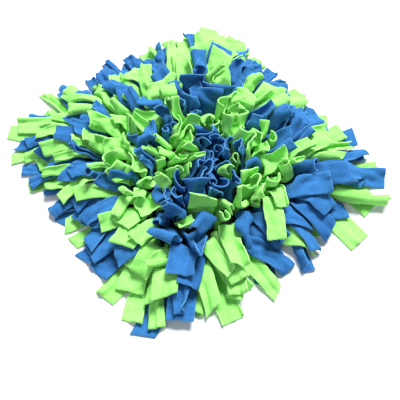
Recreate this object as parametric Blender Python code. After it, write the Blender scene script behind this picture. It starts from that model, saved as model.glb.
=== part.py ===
"""Snuffle mat: a square base mat with tufts of fleece strips knotted to it.

Metres, +Z up. The origin is the middle of the base mat's underside, which rests on the surface, and the
base mat's sides run along X and Y. Each tuft is one solid: a knot on the base mat, and the strips' free
ends that rise from it. Strips stand up in the middle of the mat and lean outwards more and more towards
its rim, where they lie down over the base mat's edge to the surface. Because each strip leans a little
further out than the one behind it, no two of them cross.
"""

import math
import random

import bmesh
import bpy
from mathutils import Vector

# The base mat
BASE_SIDE = 0.310
BASE_THICKNESS = 0.003
BASE_CORNER_RADIUS = 0.012
BASE_CORNER_STEPS = 4

# The tufts' knots stand on a square grid, this far above the base mat and off their grid points.
TUFTS_PER_SIDE = 7
TUFT_PITCH = 0.045
PLACE_SPREAD = 0.003
SEAT_GAP = 0.0003
KNOT_HEIGHT = 0.007
KNOT_WIDTH = 0.018

# The pile parts here, and every tuft leans away from this point: it is a little off the mat's middle.
PARTING = (-0.015, -0.050)
HEADING_SPREAD = 4

# One strip end, from its knot to its cut end. Strips near the parting are crumpled, and reach less far.
STRIP_LENGTH = 0.079
CRUMPLED_SHARE = 0.76
LENGTH_SPREAD = 0.06
STRIP_THICKNESS = 0.0018
STRIP_HALF_WIDTH = 0.0150
STRIP_SLICE = 0.0048
END_SLANT = 0.35
# Where the strip is bent, as shares of its length, and its width there as a share of the whole width
BENDS = ((0.08, 0.60), (0.32, 0.86), (0.65, 1.00), (1.00, 1.00))

# How far strips lean from upright, in degrees: at the knot, half way and at the cut end. Each row holds
# for one distance from the parting, as a share of the way to the outermost knots. It gives the strip of
# a tuft that is nearest to the parting and the one that is furthest: the others lean evenly between.
STRIPS_PER_TUFT = 5
LEANS = (
    (0.00, (-22, -30, -36), (22, 30, 36)),
    (0.33, (1, 10, 20), (26, 37, 48)),
    (0.78, (25, 44, 57), (46, 63, 74)),
    (1.00, (26, 79, 95), (68, 103, 89)),
)
# How far a crumpled strip waves from side to side of its lean, in degrees, at the parting and at the rim
WAVE_AT_PARTING = 22
WAVE_AT_RIM = 0
# Each strip of a tuft turns off its tuft's own heading by this much, in degrees, at its cut end.
FAN = (-15, 22, -3, -21, 16)
FAN_SPREAD = 3

MATERIALS = {
    "fleece_blue": ((0.030, 0.130, 0.560), 0.95),
    "fleece_green": ((0.280, 0.850, 0.090), 0.95),
    "base_black": ((0.020, 0.020, 0.022), 0.80),
}

# The columns of the blue tufts in each row, counted from -X and from -Y. The other tufts are green.
BLUE_COLUMNS = {
    1: (1, 4, 5, 7),
    2: (2, 3, 6),
    3: (1, 3, 4, 6, 7),
    4: (1,),
    5: (1, 5, 6, 7),
    6: (2, 3, 5),
    7: (3, 4),
}

chance = random.Random(303)


def clear_scene():
    for obj in list(bpy.data.objects):
        bpy.data.objects.remove(obj, do_unlink=True)


def make_material(name):
    colour, roughness = MATERIALS[name]
    material = bpy.data.materials.new(name)
    material.use_nodes = True
    shader = material.node_tree.nodes["Principled BSDF"]
    shader.inputs["Base Color"].default_value = (*colour, 1.0)
    shader.inputs["Roughness"].default_value = roughness
    shader.inputs["Metallic"].default_value = 0.0
    return material


def add_object(name, shape, material):
    mesh = bpy.data.meshes.new(name)
    shape.to_mesh(mesh)
    shape.free()
    mesh.materials.append(material)
    obj = bpy.data.objects.new(name, mesh)
    bpy.context.scene.collection.objects.link(obj)
    return obj


def make_base_mat(material):
    """A flat square sheet with round corners."""
    shape = bmesh.new()
    reach = BASE_SIDE / 2 - BASE_CORNER_RADIUS
    outline = []
    for corner in range(4):
        middle = Vector((reach, reach, 0.0))
        for step in range(BASE_CORNER_STEPS + 1):
            angle = math.radians(90) * step / BASE_CORNER_STEPS
            point = middle + BASE_CORNER_RADIUS * Vector((math.cos(angle), math.sin(angle), 0.0))
            quarter = corner * math.radians(90)
            turned = Vector(
                (
                    point.x * math.cos(quarter) - point.y * math.sin(quarter),
                    point.x * math.sin(quarter) + point.y * math.cos(quarter),
                    0.0,
                )
            )
            outline.append(shape.verts.new(turned))
    underside = shape.faces.new(outline)
    raised = bmesh.ops.extrude_face_region(shape, geom=[underside])
    top = [item for item in raised["geom"] if isinstance(item, bmesh.types.BMVert)]
    bmesh.ops.translate(shape, verts=top, vec=(0.0, 0.0, BASE_THICKNESS))
    bmesh.ops.recalc_face_normals(shape, faces=shape.faces)
    return add_object("base_mat", shape, material)


def between(start, end, mix):
    return [first + (last - first) * mix for first, last in zip(start, end)]


def leans_for(share):
    """The leans of a tuft's strips at a share of the way from the parting to the outermost knots."""
    for (near, *near_leans), (far, *far_leans) in zip(LEANS, LEANS[1:]):
        if share <= far:
            break
    mix = min((share - near) / (far - near), 1.0)
    first, last = (between(*pair, mix) for pair in zip(near_leans, far_leans))
    return [between(first, last, index / (STRIPS_PER_TUFT - 1)) for index in range(STRIPS_PER_TUFT)]


def lean_at(lean, wave, share):
    """The lean in radians at a share of the strip's length: a parabola through its three values, waved."""
    at_knot, half_way, at_end = lean
    bend = 2 * (at_knot - 2 * half_way + at_end)
    slope = at_end - at_knot - bend
    return math.radians(at_knot + slope * share + bend * share * share + wave * math.sin(math.tau * share))


def ring_points(middle, tangent, side, half_width, thickness, slant=0.0):
    """The four corners of a strip's cross-section, in order round it, with the outer face last."""
    outer = side.cross(tangent)
    corners = []
    for across, out in ((-1, -1), (1, -1), (1, 1), (-1, 1)):
        shift = side * (across * half_width) + outer * (out * thickness / 2)
        corners.append(middle + shift + tangent * (across * slant * half_width))
    return corners


def add_strip(shape, root_ring, root, heading, lean, wave, fan, length, slant):
    """A strip's free end, grown from four corners on its knot to its closed cut end."""
    ring = root_ring
    middle = root.copy()
    before = 0.0
    for share, width in BENDS:
        lean_here = lean_at(lean, wave, (before + share) / 2)
        turn = heading + fan * share
        outwards = Vector((math.cos(turn), math.sin(turn), 0.0))
        tangent = outwards * math.sin(lean_here) + Vector((0.0, 0.0, math.cos(lean_here)))
        middle = middle + tangent * (length * (share - before))
        lean_ring = lean_at(lean, wave, share)
        ring_tangent = outwards * math.sin(lean_ring) + Vector((0.0, 0.0, math.cos(lean_ring)))
        side = Vector((-outwards.y, outwards.x, 0.0))
        cut = slant if share == 1.0 else 0.0
        points = ring_points(middle, ring_tangent, side, STRIP_HALF_WIDTH * width, STRIP_THICKNESS, cut)
        new_ring = [shape.verts.new(point) for point in points]
        for index in range(4):
            follow = (index + 1) % 4
            shape.faces.new((ring[index], ring[follow], new_ring[follow], new_ring[index]))
        ring = new_ring
        before = share
    shape.faces.new(ring)


def make_tuft(name, place, heading, share, material):
    """A knot that is as wide as its strips' slices, with a strip rising from each slice."""
    shape = bmesh.new()
    outwards = Vector((math.cos(heading), math.sin(heading), 0.0))
    side = Vector((-outwards.y, outwards.x, 0.0))
    bottom = BASE_THICKNESS + SEAT_GAP
    top = bottom + KNOT_HEIGHT
    leans = leans_for(share)
    slices = len(leans)
    wave = WAVE_AT_PARTING + (WAVE_AT_RIM - WAVE_AT_PARTING) * share
    wave *= chance.choice((-1, 1))
    back = -slices * STRIP_SLICE / 2
    left, right, low = [], [], []
    for edge in range(slices + 1):
        along = place + outwards * (back + edge * STRIP_SLICE)
        left.append(shape.verts.new(along - side * (KNOT_WIDTH / 2) + Vector((0, 0, top))))
        right.append(shape.verts.new(along + side * (KNOT_WIDTH / 2) + Vector((0, 0, top))))
    for edge, across in ((0, -1), (slices, -1), (slices, 1), (0, 1)):
        along = place + outwards * (back + edge * STRIP_SLICE)
        low.append(shape.verts.new(along + side * (across * KNOT_WIDTH / 2) + Vector((0, 0, bottom))))
    shape.faces.new(low)
    shape.faces.new((low[0], low[1], *reversed(left)))
    shape.faces.new((low[2], low[3], *right))
    shape.faces.new((low[3], low[0], left[0], right[0]))
    shape.faces.new((low[1], low[2], right[-1], left[-1]))
    for index, lean in enumerate(leans):
        root = place + outwards * (back + (index + 0.5) * STRIP_SLICE) + Vector((0, 0, top))
        ring = [left[index], right[index], right[index + 1], left[index + 1]]
        fan = math.radians(FAN[index] + chance.uniform(-FAN_SPREAD, FAN_SPREAD))
        length = STRIP_LENGTH * (CRUMPLED_SHARE + (1 - CRUMPLED_SHARE) * share)
        length *= 1 + chance.uniform(-LENGTH_SPREAD, LENGTH_SPREAD)
        slant = chance.uniform(-END_SLANT, END_SLANT)
        add_strip(shape, ring, root, heading, lean, wave, fan, length, slant)
    bmesh.ops.recalc_face_normals(shape, faces=shape.faces)
    return add_object(name, shape, material)


def share_of_way(place):
    """How far a knot lies from the parting, as a share of the way to the square of outermost knots."""
    reach = (TUFTS_PER_SIDE - 1) / 2 * TUFT_PITCH
    ways = []
    for at, start in zip(place.xy, PARTING):
        step = at - start
        if step:
            ways.append((math.copysign(reach, step) - start) / step)
    return min(1.0, 1.0 / min(ways))


def heading_at(place, share):
    """Away from the parting in the middle of the mat, and over the nearest side, or corner, at its rim."""
    from_parting = (place.xy - Vector(PARTING)).normalized()
    over_rim = Vector((place.x * abs(place.x), place.y * abs(place.y)))
    if over_rim.length:
        over_rim.normalize()
    towards = from_parting.lerp(over_rim, share)
    return math.atan2(towards.y, towards.x)


def make_tufts(materials):
    middle = (TUFTS_PER_SIDE + 1) / 2
    for row in range(1, TUFTS_PER_SIDE + 1):
        for column in range(1, TUFTS_PER_SIDE + 1):
            place = Vector((column - middle, row - middle, 0.0)) * TUFT_PITCH
            share = share_of_way(place)
            heading = heading_at(place, share) + math.radians(chance.uniform(-HEADING_SPREAD, HEADING_SPREAD))
            place.x += chance.uniform(-PLACE_SPREAD, PLACE_SPREAD)
            place.y += chance.uniform(-PLACE_SPREAD, PLACE_SPREAD)
            colour = "fleece_blue" if column in BLUE_COLUMNS[row] else "fleece_green"
            make_tuft(f"tuft_{column}_{row}", place, heading, share, materials[colour])


def main():
    clear_scene()
    materials = {name: make_material(name) for name in MATERIALS}
    make_base_mat(materials["base_black"])
    make_tufts(materials)


main()
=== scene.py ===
"""The looks of the snuffle mat: every strip end of its pile, settled on its neighbours and on the floor.

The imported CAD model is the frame. Each of its tufts is stood for by a piece made of fleece strips that
start at the tuft's knot, and a few strips of the other colour lie among them. A strip is a grid of
points. All strips start upright and rolled up, side by side. They open and lean out to their places step
by step while they push each other aside, which keeps them clear of each other but for a few beside their
knots. In the end they sink a little. Each grid is then made finer, cut at its end, creased and carried
down to the base mat, and becomes a closed sheet.
"""

import math

import bpy
import numpy as np
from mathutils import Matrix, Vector

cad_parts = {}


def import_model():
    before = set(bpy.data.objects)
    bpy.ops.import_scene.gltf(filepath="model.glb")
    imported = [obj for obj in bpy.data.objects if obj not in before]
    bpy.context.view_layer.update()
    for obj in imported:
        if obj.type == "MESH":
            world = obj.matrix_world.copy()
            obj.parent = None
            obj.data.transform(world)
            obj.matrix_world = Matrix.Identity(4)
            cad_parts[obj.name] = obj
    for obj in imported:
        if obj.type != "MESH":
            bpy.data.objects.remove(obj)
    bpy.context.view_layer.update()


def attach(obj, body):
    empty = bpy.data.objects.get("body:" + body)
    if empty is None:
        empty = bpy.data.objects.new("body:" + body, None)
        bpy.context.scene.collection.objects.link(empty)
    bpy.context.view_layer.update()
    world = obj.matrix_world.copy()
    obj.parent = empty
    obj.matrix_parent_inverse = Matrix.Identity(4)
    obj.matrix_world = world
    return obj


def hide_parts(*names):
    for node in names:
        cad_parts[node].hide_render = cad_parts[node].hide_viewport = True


# Layout, as in the CAD part: metres, +Z up, the origin in the middle of the base mat's underside
BASE_HALF = 0.155
BASE_TOP = 0.003
TUFTS_PER_SIDE = 7
TUFT_PITCH = 0.045
PARTING = (-0.015, -0.050)

# The colours of the strips: a line for each row of tufts and a word for each tuft. A word has a letter
# for each of the tuft's rows of strips, from the parting outwards, and SHADES gives the colours of its
# two strips. Where a word has four letters, the tuft has a fourth row and all its strips are narrower.
PILE = (
    "yyb xgg gyg bbx ybb bgg bbg",
    "xgg xby bgx xxg ygg yxx ggb",
    "gxb byg bby bby bgg gbb bxy",
    "ybbg gxgx gggy xxx bgg xxg xbg",
    "byyb yggb xbyg gybg ybb yxy bbb",
    "yxyx gxbx xgbg yggy byy yyx xbg",
    "yxyg xxgy gxbb xxbb gyy yyg gyg",
)
SHADES = {
    "b": ("blue", "blue"),
    "g": ("green", "green"),
    "x": ("blue", "green"),
    "y": ("green", "blue"),
}
USUAL_ROWS = 3
LAYOUT_SEED = 13
FOURTH_ROW_SEED = 7

# The strips of a tuft start in rows along its heading and in columns across it, a little above the base
# mat. In the end each of them is carried down to this gap from it.
ROOT_COLUMNS = 2
ROOT_LENGTH = 0.034
ROOT_COLUMN_PITCH = 0.017
ROOT_STAGGER = 0.004
ROOT_JITTER = 0.0015
ROOT_HEIGHT, FOOT_GAP = 0.006, 0.0003
ROOT_SPACING, ROOT_MARGIN = 0.0145, 0.006
SPREADING_ROUNDS, SPREADING_RATE = 60, 0.4

# The size of a strip end. The ranges are shares of it, and a slant is a share of the width.
WIDTH, WIDTH_RANGE = 0.032, (0.80, 1.25)
NARROW = 0.76
LENGTH, LENGTH_RANGE = 0.080, (0.86, 1.08)
CRUMPLED_SHARE = 0.92
THICKNESS = 0.0022
RIM_HALF_THICKNESS = THICKNESS / 5
SLANT_SPREAD, SLANT_LIMIT = 0.22, 0.6

# How long the strips at the rim are, as a share of those in the middle: a heading in degrees and a share
REACH = (
    (0, 0.76),
    (60, 0.93),
    (110, 1.20),
    (135, 0.935),
    (180, 0.90),
    (225, 1.02),
    (290, 1.20),
    (320, 1.00),
)

# Strips at the mat's outline that are cut back, or reach further, once they lie. Each is known by its
# tuft and its row and column there, from 0, and is made this share of its length.
ENDS = {
    ("tuft_1_1", 1, 1): 0.78,
    ("tuft_1_1", 2, 1): 0.52,
    ("tuft_2_1", 2, 0): 0.80,
    ("tuft_3_1", 2, 0): 0.84,
    ("tuft_5_1", 2, 0): 1.10,
    ("tuft_6_1", 2, 0): 1.06,
    ("tuft_6_1", 2, 1): 1.08,
    ("tuft_7_1", 1, 0): 1.10,
    ("tuft_7_1", 1, 1): 0.80,
    ("tuft_7_1", 2, 1): 0.74,
    ("tuft_7_3", 2, 0): 0.90,
    ("tuft_7_6", 2, 0): 0.80,
    ("tuft_7_7", 2, 0): 0.92,
    ("tuft_6_7", 2, 1): 0.86,
    ("tuft_3_7", 1, 0): 0.92,
    ("tuft_2_7", 2, 1): 1.12,
    ("tuft_2_7", 3, 0): 1.10,
    ("tuft_1_7", 3, 0): 1.05,
    ("tuft_1_7", 3, 1): 0.92,
    ("tuft_1_6", 3, 0): 0.92,
    ("tuft_1_6", 3, 1): 0.90,
    ("tuft_1_5", 1, 1): 0.88,
    ("tuft_1_5", 3, 0): 0.88,
    ("tuft_1_2", 2, 0): 1.10,
    ("tuft_1_2", 2, 1): 1.08,
}

# Leans from upright in degrees, at the knot, half way and at the end, by share of the way to the rim:
# for a tuft's nearest row of strips to the parting, and for its furthest
LEANS = (
    (0.00, (-10, -14, -10), (10, 14, 10)),
    (0.40, (-10, -8, -4), (8, 12, 20)),
    (0.60, (-2, 8, 16), (18, 30, 46)),
    (0.80, (10, 30, 46), (36, 60, 76)),
    (1.00, (16, 60, 90), (50, 92, 92)),
)

# How a strip differs from these leans and from its tuft's heading: the angles are in degrees.
LEAN_JITTER, BEND_JITTER = 10, 8
FAN_PER_COLUMN, FAN_SPREAD = 52, 17
FAN_AT_KNOT = 0.4
HEADING_SPREAD_RADIANS = 0.08
WAVE, WAVE_AT_RIM = 24, 0.5
ROLL_SPREAD, ROLL_AT_RIM = 28, 0.25

# The form of a strip's cross-section: how far it turns from edge to edge, in radians. The shares say how
# many strips have this form or one before it, at the rim and how many more at the parting. The rest are
# nearly flat.
TUBE_SHARES, TUBE_TURN = (0.10, 0.70), (3.0, 4.9)
CURL_SHARES, CURL_TURN, CURL_GAIN = (0.46, 0.40), (1.2, 3.0), 0.6
FOLD_SHARES, FOLD_TURN = (0.60, 0.32), (1.6, 2.6)
FLAT_TURN, FLAT_GAIN = 1.0, 3.5
GAIN_NEAR_PARTING = 1.6
FOLD_PLACE, FOLD_SHARPNESS = 0.2, 9
PLEAT_TURN, PLEAT_WAVES = 1.1, 1.3
ROOT_TURN = (4.6, 5.4)
ROLLED_UP_TO = 0.45
FORM_GAIN_ALONG = 1.6

# A strip is gathered to a share of its width in the knot, and starts at a share of it before it opens.
KNOT_WIDTH, GATHERED_UP_TO = 0.6, 0.2
START_WIDTH, WIDENING, WIDE_WHEN_OPENED = 0.42, 0.58, 0.35

# The grid of points of a strip while it settles, along and across, and of its finished sheet
ALONG = 16
ACROSS = 9
SHEET_ALONG = 26
SHEET_ACROSS = 18
RIM_STEP = 0.28

# The settling: how near the middles of two sheets, or of one, may come, in metres, and what moves them
STEPS = 260
OPENING_STEPS = 200
SWEEPS = 4
HELD_ROWS = 2
TOUCH = 0.0057
SELF_TOUCH = 0.0042
SEARCH = 1.35
NEIGHBOURS = 3
GRAVITY = 0.00010
GRAVITY_AT_START = 0.3
DAMPING = 0.88
OPENING_PULL, RESTING_PULL = 0.045, 0.004
PULL_AT_KNOT = 1.2
MOST_MOTION = 0.28
FLOOR_GAP = 0.6

# How stiff a strip is: to shear, to bending along it, and across it over so many points
SHEAR_STIFFNESS = 0.35
BEND_ALONG = 0.15
BEND_ACROSS = ((2, 0.30), (4, 0.18))

# Smoothing after the settling
SMOOTHING_ROUNDS = 2
SMOOTHING_INSIDE, SMOOTHING_RIM = 0.5, 0.4

# Creases in the settled strips: shallow waves, and on some strips a sharp fold line
CREASE_SEED = 5
CREASE_WAVES = 3
CREASE_WAVELENGTHS = (0.010, 0.026)
CREASE_SLOPES = (0.06, 0.42)
CREASE_LIMIT = 0.0013
FOLD_LINE_SHARE = 0.45
FOLD_LINE_PLACES = (0.35, 0.95)
FOLD_LINE_HEIGHT = 0.0020
FOLD_LINE_WIDTH = 0.0042
CREASE_START, CREASE_GROWTH = 0.014, 0.018
CREASE_ROLL = 3.0

# The fleece's colours: of its face, of the painted highlight on its cut edges and its nap's sheen, and
# of its darker spots
FLEECE = {
    "blue": ((0.034, 0.168, 0.420), (0.15, 0.40, 0.70), (0.013, 0.082, 0.265)),
    "green": ((0.330, 0.820, 0.190), (0.55, 0.92, 0.36), (0.220, 0.680, 0.120)),
}
FLEECE_ROUGHNESS = 0.95
FLEECE_SPECULAR = 0.15
SHEEN, SHEEN_ROUGHNESS = 0.25, 0.5
MOTTLE_SCALE, MOTTLE_DETAIL = 160.0, 4.0
NAP_SCALE, NAP_DETAIL = 460.0, 5.0
NAP_STRENGTH, NAP_DEPTH = 0.8, 0.0012
TONE_STRENGTH = 0.45
# The painted highlight on the cut edges: how fast it fades inwards from them, and how strong it is
EDGE_HIGHLIGHT_SHARPNESS, EDGE_HIGHLIGHT_STRENGTH = 2.0, 0.55

# The base mat's fabric
BASE_COLOURS = ((0.006, 0.007, 0.010), (0.026, 0.028, 0.034))
BASE_ROUGHNESS = 0.9
WEAVE_SCALE, WEAVE_DETAIL = 900.0, 2.0
WEAVE_STRENGTH, WEAVE_DEPTH = 0.4, 0.0005

# The camera: degrees, metres, and the lens and sensor in millimetres
CAMERA_AZIMUTH, CAMERA_ELEVATION = -37.54, 57.5
CAMERA_DISTANCE = 0.9774
CAMERA_AIM = (-0.0343, -0.0567, 0.0)
CAMERA_LENS, CAMERA_SENSOR = 63.5, 36.0
CAMERA_CLIP = (0.01, 20.0)

# The lights: a name, a kind, a place, a size (degrees for a sun, metres for a disk) and a power
LIGHTS = (
    ("key", "SUN", (0.75, 0.48, 1.30), 25, 5.4),
    ("glow", "AREA", (0.80, 0.62, 0.95), 0.6, 7.0),
    ("fill", "AREA", (-1.2, -0.4, 1.4), 1.2, 6.0),
)
AMBIENT = (0.74, 0.88, 1.0)
AMBIENT_STRENGTH = 0.26
BACKDROP_STRENGTH = 1.4
FLOOR_REACH = 6.0
FLOOR_COLOUR, FLOOR_ROUGHNESS = (0.92, 0.92, 0.92), 0.9


# ---------------------------------------------------------------- layout


def share_of_way(x, y):
    """How far a point lies from the parting, as a share of the way to the square of outermost knots."""
    reach = (TUFTS_PER_SIDE - 1) / 2 * TUFT_PITCH
    ways = []
    for at, start in zip((x, y), PARTING):
        step = at - start
        if abs(step) > 1e-9:
            ways.append((math.copysign(reach, step) - start) / step)
    return min(1.0, 1.0 / min(ways))


def heading_at(x, y, share):
    """Away from the parting near it, and over the nearest side, or corner, at the mat's rim."""
    away = np.array((x - PARTING[0], y - PARTING[1]))
    away /= np.linalg.norm(away)
    over = np.array((x * abs(x), y * abs(y)))
    if np.linalg.norm(over) > 0:
        over /= np.linalg.norm(over)
    towards = away + (over - away) * share
    return math.atan2(towards[1], towards[0])


def reach_at(heading, share):
    """The share of its length that a strip with this heading has."""
    headings, reaches = zip(*REACH)
    return 1 + share * (np.interp(math.degrees(heading), headings, reaches, period=360) - 1)


def between(first, last, mix):
    return np.asarray(first, float) * (1 - mix) + np.asarray(last, float) * mix


def leans_for(share, place):
    """A strip's three leans. Its place is 0 in the row nearest the parting and 1 in the furthest."""
    for (near, *near_leans), (far, *far_leans) in zip(LEANS, LEANS[1:]):
        if share <= far:
            break
    mix = min((share - near) / (far - near), 1.0)
    first = between(near_leans[0], far_leans[0], mix)
    last = between(near_leans[1], far_leans[1], mix)
    return between(first, last, place)


def either_way(draw, turn):
    return draw.choice((-1, 1)) * draw.uniform(*turn)


def form_of(draw, crumple):
    """How far a strip's cross-section turns, in radians: as an even curl, and at one fold."""
    near_parting = min(1.0, GAIN_NEAR_PARTING * crumple)
    slight_curl = draw.uniform(-FLAT_TURN, FLAT_TURN) * (1 + FLAT_GAIN * near_parting)
    kind = draw.random()
    if kind < TUBE_SHARES[0] + TUBE_SHARES[1] * crumple:
        return either_way(draw, TUBE_TURN), 0.0
    if kind < CURL_SHARES[0] + CURL_SHARES[1] * crumple:
        return either_way(draw, CURL_TURN) * (1 + CURL_GAIN * near_parting), 0.0
    if kind < FOLD_SHARES[0] + FOLD_SHARES[1] * crumple:
        return slight_curl, either_way(draw, FOLD_TURN)
    return slight_curl, 0.0


def lay_out_tuft(tuft, x, y, word, usual, fourth):
    """The strips of one tuft, row by row from the parting outwards. A fourth row has its own draws."""
    share = share_of_way(x, y)
    crumple = 1 - share
    heading = heading_at(x, y, share)
    out = np.array((math.cos(heading), math.sin(heading)))
    side = np.array((-out[1], out[0]))
    last = len(word) - 1
    narrowing = NARROW if len(word) > USUAL_ROWS else 1.0
    usual_length = LENGTH * (CRUMPLED_SHARE + (1 - CRUMPLED_SHARE) * share) * reach_at(heading, share)
    strips = []
    for row, letter in enumerate(word):
        draw = usual if row < USUAL_ROWS else fourth
        for column, colour in enumerate(SHADES[letter]):
            ahead = (row / last - 0.5) * ROOT_LENGTH
            aside = (column - (ROOT_COLUMNS - 1) / 2) * ROOT_COLUMN_PITCH
            aside += (row % 2 - 0.5) * ROOT_STAGGER
            root = np.array((x, y)) + out * ahead + side * aside
            root += draw.uniform(-ROOT_JITTER, ROOT_JITTER, 2)
            leans = leans_for(share, row / last) + draw.uniform(-LEAN_JITTER, LEAN_JITTER)
            leans = leans + draw.uniform(-BEND_JITTER, BEND_JITTER, 3)
            fan = FAN_PER_COLUMN * aside / ROOT_COLUMN_PITCH + draw.normal(0, FAN_SPREAD)
            curl, fold = form_of(draw, crumple)
            strips.append(
                {
                    "tuft": tuft,
                    "colour": colour,
                    "root": np.array((root[0], root[1], BASE_TOP + ROOT_HEIGHT)),
                    "heading": heading + draw.normal(0, HEADING_SPREAD_RADIANS),
                    "leans": np.radians(leans),
                    "fan": math.radians(fan),
                    "length": usual_length * draw.uniform(*LENGTH_RANGE),
                    "width": WIDTH * draw.uniform(*WIDTH_RANGE) * narrowing,
                    "curl": curl,
                    "fold": fold,
                    "fold_at": draw.uniform(-FOLD_PLACE, FOLD_PLACE),
                    "root_curl": math.copysign(draw.uniform(*ROOT_TURN), curl + fold),
                    "pleat": draw.uniform(-PLEAT_TURN, PLEAT_TURN),
                    "pleat_phase": draw.uniform(0, math.tau),
                    "wave": math.radians(draw.uniform(-WAVE, WAVE) * (WAVE_AT_RIM + crumple)),
                    "roll": math.radians(
                        draw.normal(0, ROLL_SPREAD) * (ROLL_AT_RIM + (1 - ROLL_AT_RIM) * crumple)
                    ),
                    "slant": float(np.clip(draw.normal(0, SLANT_SPREAD), -SLANT_LIMIT, SLANT_LIMIT)),
                    "tone": draw.uniform(0, 1),
                    "kept": ENDS.get((tuft, row, column), 1.0),
                }
            )
    return strips


def lay_out_strips():
    """A list of strips, each a dict of its tuft, colour, root, heading, leans and form."""
    usual = np.random.default_rng(LAYOUT_SEED)
    fourth = np.random.default_rng(FOURTH_ROW_SEED)
    middle = (TUFTS_PER_SIDE + 1) / 2
    strips = []
    for row, words in enumerate(PILE, 1):
        for column, word in enumerate(words.split(), 1):
            x = (column - middle) * TUFT_PITCH
            y = (row - middle) * TUFT_PITCH
            strips += lay_out_tuft(f"tuft_{column}_{row}", x, y, word, usual, fourth)
    spread_roots(strips)
    return strips


def spread_roots(strips):
    """Moves roots that lie too near each other apart."""
    roots = np.array([strip["root"][:2] for strip in strips])
    others = 1 - np.eye(len(roots))
    for _ in range(SPREADING_ROUNDS):
        gap = roots[:, None] - roots[None]
        far = np.sqrt((gap * gap).sum(-1)) + np.eye(len(roots))
        push = np.clip(ROOT_SPACING - far, 0, None) * others
        roots += (gap / far[..., None] * push[..., None] * SPREADING_RATE).sum(1)
        roots = np.clip(roots, -BASE_HALF + ROOT_MARGIN, BASE_HALF - ROOT_MARGIN)
    for strip, root in zip(strips, roots):
        strip["root"][:2] = root


# ---------------------------------------------------------------- poses


def column_of(strips, key):
    return np.array([strip[key] for strip in strips], float)


def grown(opened):
    """The share of their width that strips have while they open. They start as narrow tubes."""
    return min(1.0, START_WIDTH + opened / WIDE_WHEN_OPENED * WIDENING)


def squeeze_along():
    """How far a strip is gathered at each of its cross-sections."""
    t = np.linspace(0, 1, ALONG)
    return KNOT_WIDTH + (1 - KNOT_WIDTH) * np.clip(t / GATHERED_UP_TO, 0, 1)


def middle_lines(strips, t, opened):
    """The points of each strip's middle line, and its sideways and outward directions there."""
    leans = np.array([strip["leans"] for strip in strips])
    at_knot, half_way, at_end = (leans[:, k, None] for k in range(3))
    bend = 2 * (at_knot - 2 * half_way + at_end)
    slope = at_end - at_knot - bend
    lean = at_knot + slope * t + bend * t * t
    lean = lean + column_of(strips, "wave")[:, None] * np.sin(math.tau * t)
    lean = lean * opened
    fan = column_of(strips, "fan")[:, None] * (FAN_AT_KNOT + (1 - FAN_AT_KNOT) * t) * opened
    turn = column_of(strips, "heading")[:, None] + fan
    tangent = np.stack((np.cos(turn) * np.sin(lean), np.sin(turn) * np.sin(lean), np.cos(lean)), -1)
    step = column_of(strips, "length")[:, None, None] / (ALONG - 1)
    moves = (tangent[:, 1:] + tangent[:, :-1]) / 2 * step
    middle = np.concatenate((np.zeros((len(strips), 1, 3)), np.cumsum(moves, 1)), 1)
    middle += np.array([strip["root"] for strip in strips])[:, None, :]
    side = np.stack((-np.sin(turn), np.cos(turn), np.zeros_like(turn)), -1)
    outer = np.cross(side, tangent)
    roll = column_of(strips, "roll")[:, None] * t * opened
    cos, sin = np.cos(roll)[..., None], np.sin(roll)[..., None]
    return middle, side * cos + outer * sin, outer * cos - side * sin


def cross_sections(strips, t, opened):
    """How far aside from the middle line, and outwards, the points of each cross-section lie."""
    u = np.linspace(-0.5, 0.5, ACROSS)[None, None, :]
    rolled = np.clip(1 - t / ROLLED_UP_TO, 0, 1)
    # This is the power 1.5. The last digit of np.power depends on where its arrays lie in memory.
    rolled = rolled * np.sqrt(rolled)
    rolled = 1 - opened * (1 - rolled)
    curl = column_of(strips, "root_curl")[:, None] * rolled
    curl = curl + column_of(strips, "curl")[:, None] * (1 - rolled)
    gain = np.clip(t * FORM_GAIN_ALONG, 0, 1)
    pleat = column_of(strips, "pleat")[:, None] * opened * gain
    phase = column_of(strips, "pleat_phase")[:, None, None]
    fold = column_of(strips, "fold")[:, None] * opened * gain
    fold_at = column_of(strips, "fold_at")[:, None, None]
    angle = curl[..., None] * u + pleat[..., None] * np.sin(math.tau * PLEAT_WAVES * u + phase)
    angle = angle + fold[..., None] * np.tanh((u - fold_at) * FOLD_SHARPNESS) / 2
    width = column_of(strips, "width")[:, None] * squeeze_along()[None, :] * grown(opened)
    spacing = (width / (ACROSS - 1))[..., None]
    start = np.zeros((len(strips), ALONG, 1))
    ways = []
    for part in (np.cos(angle), np.sin(angle)):
        steps = (part[..., 1:] + part[..., :-1]) / 2 * spacing
        ways.append(np.concatenate((start, np.cumsum(steps, -1)), -1))
    aside, outwards = ways
    centre = (ACROSS - 1) // 2
    return aside - aside[..., centre : centre + 1], outwards - outwards.mean(-1, keepdims=True)


def pose(strips, opened):
    """Every strip's grid, shaped (strips, ALONG, ACROSS, 3): upright at 0, and in its place at 1."""
    t = np.linspace(0, 1, ALONG)[None, :]
    middle, side, outer = middle_lines(strips, t, opened)
    aside, outwards = cross_sections(strips, t, opened)
    return (
        middle[:, :, None, :]
        + aside[..., None] * side[:, :, None, :]
        + outwards[..., None] * outer[:, :, None, :]
    )


# ---------------------------------------------------------------- settling


def project(points, first, second, rest, stiffness):
    """Moves two sets of points towards their rest distance."""
    gap = points[second] - points[first]
    far = np.sqrt((gap * gap).sum(-1)) + 1e-9
    shift = gap * ((far - rest) / far * stiffness)[..., None]
    points[first] += shift * 0.5
    points[second] -= shift * 0.5


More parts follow.
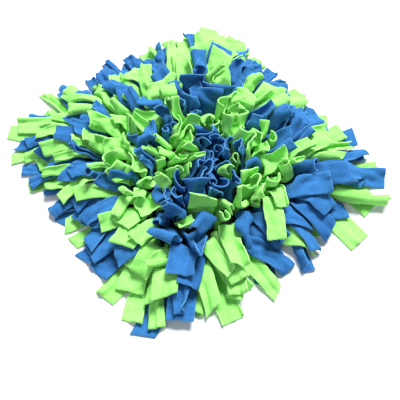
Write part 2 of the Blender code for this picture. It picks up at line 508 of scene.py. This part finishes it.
def near_pairs(points, owner, row, column, within):
    """Pairs of points nearer than this, apart from neighbours in one strip."""
    low = points.min(0) - within
    cell = ((points - low) / within).astype(np.int64)
    size = cell.max(0) + 3
    layer = size[1] * size[2]
    key = (cell[:, 0] + 1) * layer + (cell[:, 1] + 1) * size[2] + cell[:, 2] + 1
    order = np.argsort(key, kind="stable")
    sorted_key = key[order]
    counts = np.bincount(sorted_key, minlength=(size[0] + 3) * layer)
    starts = np.concatenate(((0,), np.cumsum(counts)))
    found_first, found_second = [], []
    index = np.arange(len(points))
    for dx in (0, 1):
        for dy in (-1, 0, 1):
            for dz in (-1, 0, 1):
                if (dx, dy, dz) < (0, 0, 0):
                    continue
                other = sorted_key + dx * layer + dy * size[2] + dz
                count = counts[other]
                begin = starts[other]
                if (dx, dy, dz) == (0, 0, 0):
                    # Within the same cell each pair is taken once.
                    begin = index + 1
                    count = starts[sorted_key + 1] - begin
                total = int(count.sum())
                if not total:
                    continue
                first = np.repeat(index, count)
                offset = np.arange(total) - np.repeat(np.cumsum(count) - count, count)
                second = np.repeat(begin, count) + offset
                found_first.append(order[first])
                found_second.append(order[second])
    first = np.concatenate(found_first)
    second = np.concatenate(found_second)
    gap = points[first] - points[second]
    close = (gap * gap).sum(1) < within * within
    same = owner[first] == owner[second]
    rows_apart = np.abs(row[first] - row[second])
    columns_apart = np.abs(column[first] - column[second])
    keep = close & (~same | (np.maximum(rows_apart, columns_apart) >= NEIGHBOURS))
    return first[keep], second[keep], same[keep]


def lowest(points):
    """How low the middle of a sheet can lie at these points: just clear of the base mat or the floor."""
    on_base = (np.abs(points[..., 0]) < BASE_HALF) & (np.abs(points[..., 1]) < BASE_HALF)
    return np.where(on_base, BASE_TOP, 0.0) + THICKNESS * FLOOR_GAP


def push_apart(flat, first, second, touch, free):
    """Moves points that are nearer to each other than they may be apart."""
    gap = flat[first] - flat[second]
    far = np.sqrt((gap * gap).sum(1)) + 1e-9
    deep = touch - far
    hit = deep > 0
    i, j = first[hit], second[hit]
    push = gap[hit] * (deep[hit] / far[hit] * 0.5)[:, None]
    number = np.bincount(i, minlength=len(flat)) + np.bincount(j, minlength=len(flat))
    scale = 1.0 / np.maximum(1.0, number * 0.5) * free
    for axis in range(3):
        onwards = np.bincount(i, push[:, axis], len(flat))
        back = np.bincount(j, push[:, axis], len(flat))
        flat[:, axis] += (onwards - back) * scale


def make_links(strips):
    """What holds each strip's grid together: lines, diagonals, and longer lines that keep its bends.

    A link is its two sets of points, the lengths it keeps along and across the strip, and its stiffness.
    """
    final = pose(strips, 1.0)
    length_step = (column_of(strips, "length") / (ALONG - 1))[:, None, None]
    width_step = (column_of(strips, "width") / (ACROSS - 1))[:, None, None]
    width_step = width_step * squeeze_along()[None, :, None]
    every = slice(None)
    links = []

    def distances(first, second):
        gap = final[second] - final[first]
        return np.sqrt((gap * gap).sum(-1))

    for parity in (0, 1):
        a = (every, slice(parity, ALONG - 1, 2))
        b = (every, slice(parity + 1, ALONG, 2))
        links.append((a, b, np.broadcast_to(length_step, final[a].shape[:-1]), 0.0, 1.0))
    for parity in (0, 1):
        a = (every, every, slice(parity, ACROSS - 1, 2))
        b = (every, every, slice(parity + 1, ACROSS, 2))
        links.append((a, b, 0.0, np.broadcast_to(width_step, final[a].shape[:-1]), 1.0))
    for low, high in ((0, 1), (1, 0)):
        for parity in (0, 1):
            a = (every, slice(parity, ALONG - 1, 2), slice(low, ACROSS - 1 + low))
            b = (every, slice(parity + 1, ALONG, 2), slice(high, ACROSS - 1 + high))
            links.append((a, b, length_step, width_step[:, parity : ALONG - 1 : 2], SHEAR_STIFFNESS))
    for parity in (0, 1):
        a = (every, slice(parity, ALONG - 2, 2))
        b = (every, slice(parity + 2, ALONG, 2))
        links.append((a, b, distances(a, b), 0.0, BEND_ALONG))
    for reach, stiffness in BEND_ACROSS:
        a = (every, every, slice(0, ACROSS - reach))
        b = (every, every, slice(reach, ACROSS))
        links.append((a, b, 0.0, distances(a, b), stiffness))
    return links


def settle(strips):
    """Every strip's grid once the strips lie on each other, on the base mat and on the floor."""
    count = len(strips)
    points = pose(strips, 0.0)
    before = points.copy()
    links = make_links(strips)
    owner = np.repeat(np.arange(count), ALONG * ACROSS)
    row = np.tile(np.repeat(np.arange(ALONG), ACROSS), count)
    column = np.tile(np.arange(ACROSS), count * ALONG)
    free = (row >= HELD_ROWS).astype(float)
    held = (np.arange(ALONG) < HELD_ROWS)[None, :, None, None]
    rise = np.linspace(0, 1, ALONG)[None, :, None, None]
    for step in range(STEPS):
        opened = min(1.0, step / OPENING_STEPS)
        opened = opened * opened * (3 - 2 * opened)
        target = pose(strips, opened)
        pull = OPENING_PULL if step < OPENING_STEPS else RESTING_PULL
        moved = points + (points - before) * DAMPING
        moved[..., 2] -= GRAVITY * (GRAVITY_AT_START + (1 - GRAVITY_AT_START) * opened)
        moved += (target - moved) * pull * (PULL_AT_KNOT - rise)
        before = points
        points = np.where(held, target, moved)
        if step % 2 == 0:
            flat = points.reshape(-1, 3)
            first, second, same = near_pairs(flat, owner, row, column, TOUCH * SEARCH)
            touch = np.where(same, SELF_TOUCH, TOUCH)
        grow = grown(opened)
        rests = [np.hypot(along, across * grow) for _, _, along, across, _ in links]
        for _ in range(SWEEPS):
            for (a, b, _, _, stiffness), rest in zip(links, rests):
                project(points, a, b, rest, stiffness)
            flat = points.reshape(-1, 3)
            push_apart(flat, first, second, touch, free)
            flat[:, 2] = np.maximum(flat[:, 2], lowest(flat))
            points = flat.reshape(points.shape)
        points = np.where(held, target, points)
        # No point moves further in one step than this share of the distance at which points touch.
        motion = points - before
        far = np.sqrt((motion * motion).sum(-1, keepdims=True)) + 1e-12
        points = before + motion * np.minimum(1.0, TOUCH * MOST_MOTION / far)
    return points


# ---------------------------------------------------------------- meshes


def smooth(points):
    """Evens out small dents, leaving each strip's root and end in place."""
    for _ in range(SMOOTHING_ROUNDS):
        inner = points[:, 1:-1, 1:-1]
        along = points[:, :-2, 1:-1] + points[:, 2:, 1:-1]
        around = (along + points[:, 1:-1, :-2] + points[:, 1:-1, 2:]) / 4
        new = points.copy()
        new[:, 1:-1, 1:-1] = inner + (around - inner) * SMOOTHING_INSIDE
        for rim in (0, -1):
            beside = (points[:, :-2, rim] + points[:, 2:, rim]) / 2
            new[:, 1:-1, rim] += (beside - points[:, 1:-1, rim]) * SMOOTHING_RIM
        points = new
    return points


def sample(grid, axis, at):
    """Catmull-Rom points of grids shaped (strips, along, across, 3), at these places on one axis."""
    count = grid.shape[axis]
    first, second = np.take(grid, [0], axis), np.take(grid, [1], axis)
    last, last_but_one = np.take(grid, [count - 1], axis), np.take(grid, [count - 2], axis)
    padded = np.concatenate((2 * first - second, grid, 2 * last - last_but_one), axis)
    start = np.minimum(at.astype(int), count - 2)
    s = (at - start)[..., None]
    p0, p1, p2, p3 = (np.take_along_axis(padded, (start + k)[..., None], axis) for k in range(4))
    square = (2 * p0 - 5 * p1 + 4 * p2 - p3) * s * s
    cube = (3 * p1 - 3 * p2 + p3 - p0) * s * s * s
    return 0.5 * (2 * p1 + (p2 - p0) * s + square + cube)


def finish_sheets(points, strips):
    """Finer grids, with a narrow step along each rim, and with ends that are cut a little askew."""
    inside = np.linspace(RIM_STEP, ACROSS - 1 - RIM_STEP, SHEET_ACROSS - 2)
    across = np.concatenate(((0,), inside, (ACROSS - 1,)))
    at = np.broadcast_to(across[None, None, :], (len(strips), ALONG, SHEET_ACROSS))
    points = sample(points, 2, at)
    along = np.concatenate((np.linspace(0, ALONG - 1 - RIM_STEP, SHEET_ALONG - 1), (ALONG - 1,)))
    slant = column_of(strips, "slant")[:, None]
    askew = slant * (across / (ACROSS - 1) - 0.5)[None, :] + np.abs(slant) / 2
    kept = column_of(strips, "kept")[:, None]
    kept = kept - askew * (column_of(strips, "width") / column_of(strips, "length"))[:, None]
    return sample(points, 1, along[None, :, None] * kept[:, None, :])


def normals(points):
    """The upper side's unit normals of grids whose last axes are along, across and x, y, z."""
    normal = np.cross(np.gradient(points, axis=-2), np.gradient(points, axis=-3))
    return normal / (np.linalg.norm(normal, axis=-1, keepdims=True) + 1e-12)


def crease(points, strips):
    """Raises shallow waves and fold lines on each strip. They fade out towards its knot."""
    draw = np.random.default_rng(CREASE_SEED)
    each = (len(strips), 1, 1)
    length = column_of(strips, "length") * column_of(strips, "kept")
    along = np.linspace(0, 1, SHEET_ALONG)[None, :, None] * length.reshape(each)
    width = column_of(strips, "width").reshape(each)
    across = np.linspace(-0.5, 0.5, SHEET_ACROSS)[None, None, :] * width
    height = np.zeros(points.shape[:3])
    for _ in range(CREASE_WAVES):
        angle = draw.uniform(0, math.pi, each)
        wavelength = draw.uniform(*CREASE_WAVELENGTHS, each)
        size = draw.uniform(*CREASE_SLOPES, each) * wavelength / math.tau
        way = across * np.cos(angle) + along * np.sin(angle)
        height += size * np.sin(way / wavelength * math.tau + draw.uniform(0, math.tau, each))
    angle = draw.uniform(0, math.pi, each)
    beyond = along - along[:, -1:] * draw.uniform(*FOLD_LINE_PLACES, each)
    way = across * np.cos(angle) + beyond * np.sin(angle)
    folded = draw.uniform(0, 1, each) < FOLD_LINE_SHARE
    ridge = folded * draw.uniform(-1, 1, each) * FOLD_LINE_HEIGHT
    height += ridge * np.exp(-np.abs(way) / FOLD_LINE_WIDTH)
    height = CREASE_LIMIT * np.tanh(height / CREASE_LIMIT)
    height *= np.clip((along - CREASE_START) / CREASE_GROWTH, 0, 1)
    rolled = np.abs(column_of(strips, "curl")) + np.abs(column_of(strips, "fold"))
    height /= 1 + (rolled / CREASE_ROLL).reshape(each) ** 2
    points = points + normals(points) * height[..., None]
    points[..., 2] = np.maximum(points[..., 2], lowest(points))
    return points


def add_feet(points):
    """Carries each rolled-up root straight down to the base mat that it is knotted to."""
    feet = points[:, :1].copy()
    feet[..., 2] = BASE_TOP + FOOT_GAP
    return np.concatenate((feet, points), 1)


def strip_mesh(grid):
    """Vertices, quads and edge values of one strip's closed sheet, from its grid of middle points. The
    edge values mark the cut edges for a painted highlight.
    """
    along, across = grid.shape[:2]
    half = np.full((along, across, 1), THICKNESS / 2)
    half[-1] = half[:, 0] = half[:, -1] = RIM_HALF_THICKNESS
    offset = normals(grid) * half
    index = np.arange(along * across).reshape(along, across)
    under = along * across
    a, b, c, d = index[:-1, :-1], index[1:, :-1], index[1:, 1:], index[:-1, 1:]
    loop = np.concatenate((index[:-1, 0], index[-1, :-1], index[:0:-1, -1], index[0, :0:-1]))
    follow = np.roll(loop, -1)
    quads = (
        np.stack((a, d, c, b), -1).reshape(-1, 4),
        np.stack((a, b, c, d), -1).reshape(-1, 4) + under,
        np.stack((loop, loop + under, follow + under, follow), -1)[:, ::-1],
    )
    # The cut edges are marked for the painted highlight.
    edge = np.zeros((along, across))
    edge[-1] = edge[:, 0] = edge[:, -1] = 1
    vertices = np.concatenate(((grid + offset).reshape(-1, 3), (grid - offset).reshape(-1, 3)))
    return vertices, np.concatenate(quads), np.concatenate((edge.ravel(), edge.ravel()))


def make_piece(name, grids, tones, material):
    """One object of all these strips, with an attribute for the painted highlight on cut edges and one
    for each strip's tone.
    """
    vertices, quads, edges, tone = [], [], [], []
    base = 0
    for grid, value in zip(grids, tones):
        v, q, e = strip_mesh(grid)
        vertices.append(v)
        quads.append(q + base)
        edges.append(e)
        tone.append(np.full(len(v), value))
        base += len(v)
    vertices = np.concatenate(vertices)
    quads = np.concatenate(quads)
    mesh = bpy.data.meshes.new(name)
    mesh.vertices.add(len(vertices))
    mesh.vertices.foreach_set("co", vertices.astype(np.float32).ravel())
    mesh.loops.add(quads.size)
    mesh.loops.foreach_set("vertex_index", quads.astype(np.int32).ravel())
    mesh.polygons.add(len(quads))
    mesh.polygons.foreach_set("loop_start", np.arange(0, quads.size, 4, dtype=np.int32))
    mesh.polygons.foreach_set("use_smooth", np.ones(len(quads), bool))
    mesh.update()
    # The rim attribute marks the cut edges for their painted highlight.
    for key, values in (("rim", np.concatenate(edges)), ("tone", np.concatenate(tone))):
        attribute = mesh.attributes.new(key, "FLOAT", "POINT")
        attribute.data.foreach_set("value", values.astype(np.float32))
    mesh.materials.append(material)
    obj = bpy.data.objects.new(name, mesh)
    bpy.context.scene.collection.objects.link(obj)
    return obj


# ---------------------------------------------------------------- materials


def new_material(name, roughness):
    """A material, its node tree and its shader."""
    material = bpy.data.materials.new(name)
    material.use_nodes = True
    shader = material.node_tree.nodes["Principled BSDF"]
    shader.inputs["Roughness"].default_value = roughness
    return material, material.node_tree, shader


def add_noise(tree, scale, detail):
    """A noise that is fixed to the object."""
    coordinates = tree.nodes.new("ShaderNodeTexCoord")
    noise = tree.nodes.new("ShaderNodeTexNoise")
    noise.inputs["Scale"].default_value = scale
    noise.inputs["Detail"].default_value = detail
    tree.links.new(coordinates.outputs["Object"], noise.inputs["Vector"])
    return noise.outputs["Fac"]


def add_attribute(tree, name):
    attribute = tree.nodes.new("ShaderNodeAttribute")
    attribute.attribute_name = name
    return attribute.outputs["Fac"]


def add_math(tree, operation, first, *numbers, last=None):
    """A Math node on one output and some numbers, and on a last output if there is one."""
    node = tree.nodes.new("ShaderNodeMath")
    node.operation = operation
    tree.links.new(first, node.inputs[0])
    for place, number in enumerate(numbers, 1):
        node.inputs[place].default_value = number
    if last is not None:
        tree.links.new(last, node.inputs[len(numbers) + 1])
    return node.outputs[0]


def add_mix(tree, factor, first, second):
    """A mix of two colours. The first is a colour or another node's output."""
    mix = tree.nodes.new("ShaderNodeMix")
    mix.data_type = "RGBA"
    if isinstance(first, tuple):
        mix.inputs["A"].default_value = (*first, 1.0)
    else:
        tree.links.new(first, mix.inputs["A"])
    mix.inputs["B"].default_value = (*second, 1.0)
    tree.links.new(factor, mix.inputs["Factor"])
    return mix.outputs["Result"]


def add_bump(tree, height, strength, depth, shader):
    bump = tree.nodes.new("ShaderNodeBump")
    bump.inputs["Strength"].default_value = strength
    bump.inputs["Distance"].default_value = depth
    tree.links.new(height, bump.inputs["Height"])
    tree.links.new(bump.outputs["Normal"], shader.inputs["Normal"])


def fleece(name, face, highlight_colour, deep):
    """Matte fleece: a fine nap, soft mottling, a tone of its own for each strip and a painted highlight
    on its cut edges.
    """
    material, tree, shader = new_material(name, FLEECE_ROUGHNESS)
    shader.inputs["Specular IOR Level"].default_value = FLEECE_SPECULAR
    shader.inputs["Sheen Weight"].default_value = SHEEN
    shader.inputs["Sheen Roughness"].default_value = SHEEN_ROUGHNESS
    shader.inputs["Sheen Tint"].default_value = (*highlight_colour, 1.0)
    mottle = add_noise(tree, MOTTLE_SCALE, MOTTLE_DETAIL)
    tone = add_math(tree, "MULTIPLY_ADD", add_attribute(tree, "tone"), TONE_STRENGTH, last=mottle)
    colour = add_mix(tree, tone, deep, face)
    # The cut edges are painted towards the paler colour: a painted highlight.
    edge = add_math(tree, "POWER", add_attribute(tree, "rim"), EDGE_HIGHLIGHT_SHARPNESS)
    edge = add_math(tree, "MULTIPLY", edge, EDGE_HIGHLIGHT_STRENGTH)
    tree.links.new(add_mix(tree, edge, colour, highlight_colour), shader.inputs["Base Color"])
    add_bump(tree, add_noise(tree, NAP_SCALE, NAP_DETAIL), NAP_STRENGTH, NAP_DEPTH, shader)
    return material


def base_fabric():
    material, tree, shader = new_material("base_fabric", BASE_ROUGHNESS)
    weave = add_noise(tree, WEAVE_SCALE, WEAVE_DETAIL)
    tree.links.new(add_mix(tree, weave, *BASE_COLOURS), shader.inputs["Base Color"])
    add_bump(tree, weave, WEAVE_STRENGTH, WEAVE_DEPTH, shader)
    return material


# ---------------------------------------------------------------- stage


def make_camera():
    azimuth, elevation = math.radians(CAMERA_AZIMUTH), math.radians(CAMERA_ELEVATION)
    back = Vector(
        (
            math.sin(azimuth) * math.cos(elevation),
            -math.cos(azimuth) * math.cos(elevation),
            math.sin(elevation),
        )
    )
    data = bpy.data.cameras.new("camera")
    data.lens = CAMERA_LENS
    data.sensor_width = CAMERA_SENSOR
    data.clip_start, data.clip_end = CAMERA_CLIP
    camera = bpy.data.objects.new("camera", data)
    camera.location = Vector(CAMERA_AIM) + back * CAMERA_DISTANCE
    camera.rotation_mode = "QUATERNION"
    camera.rotation_quaternion = (-back).to_track_quat("-Z", "Y")
    bpy.context.scene.collection.objects.link(camera)
    bpy.context.scene.camera = camera


def make_floor():
    mesh = bpy.data.meshes.new("floor")
    corners = [(x * FLOOR_REACH, y * FLOOR_REACH, 0) for x, y in ((-1, -1), (1, -1), (1, 1), (-1, 1))]
    mesh.from_pydata(corners, [], [(0, 1, 2, 3)])
    floor = bpy.data.objects.new("floor", mesh)
    bpy.context.scene.collection.objects.link(floor)
    material, _, shader = new_material("floor_white", FLOOR_ROUGHNESS)
    shader.inputs["Base Color"].default_value = (*FLOOR_COLOUR, 1.0)
    mesh.materials.append(material)


def make_lights():
    """The lamps, and a white backdrop that lights the object less than it shows."""
    scene = bpy.context.scene
    scene.view_settings.view_transform = "Standard"
    scene.world = bpy.data.worlds.new("studio")
    scene.world.use_nodes = True
    tree = scene.world.node_tree
    background = tree.nodes["Background"]
    background.inputs["Color"].default_value = (*AMBIENT, 1.0)
    seen = tree.nodes.new("ShaderNodeLightPath").outputs["Is Camera Ray"]
    strengths = (BACKDROP_STRENGTH - AMBIENT_STRENGTH, AMBIENT_STRENGTH)
    strength = add_math(tree, "MULTIPLY_ADD", seen, *strengths)
    tree.links.new(strength, background.inputs["Strength"])
    for name, kind, place, size, power in LIGHTS:
        data = bpy.data.lights.new(name, kind)
        data.energy = power
        if kind == "SUN":
            data.angle = math.radians(size)
        else:
            data.shape = "DISK"
            data.size = size
        lamp = bpy.data.objects.new(name, data)
        lamp.location = place
        lamp.rotation_euler = (-Vector(place)).to_track_quat("-Z", "Y").to_euler()
        scene.collection.objects.link(lamp)


# ---------------------------------------------------------------- the object


def make_strips(tuft, colour, strips, grids, material):
    """The strips of one colour in a tuft. Those of the CAD tuft's own colour stand for it."""
    main_colour = bpy.data.objects[tuft].material_slots[0].material.name == f"fleece_{colour}"
    name = tuft.replace("tuft", "strips" if main_colour else "strays")
    piece = make_piece(name, grids, [strip["tone"] for strip in strips], material)
    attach(piece, "root")
    if main_colour:
        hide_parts(tuft)


def main():
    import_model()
    make_camera()
    make_floor()
    make_lights()
    materials = {colour: fleece(f"fleece_{colour}", *shades) for colour, shades in FLEECE.items()}
    strips = lay_out_strips()
    points = settle(strips)
    points = finish_sheets(smooth(points), strips)
    points = add_feet(crease(points, strips))
    for tuft in sorted({strip["tuft"] for strip in strips}):
        for colour, material in materials.items():
            key = (tuft, colour)
            mine = [k for k, strip in enumerate(strips) if (strip["tuft"], strip["colour"]) == key]
            if mine:
                make_strips(tuft, colour, [strips[k] for k in mine], points[mine], material)
    base = bpy.data.objects["base_mat"]
    base.data.materials.clear()
    base.data.materials.append(base_fabric())


main()
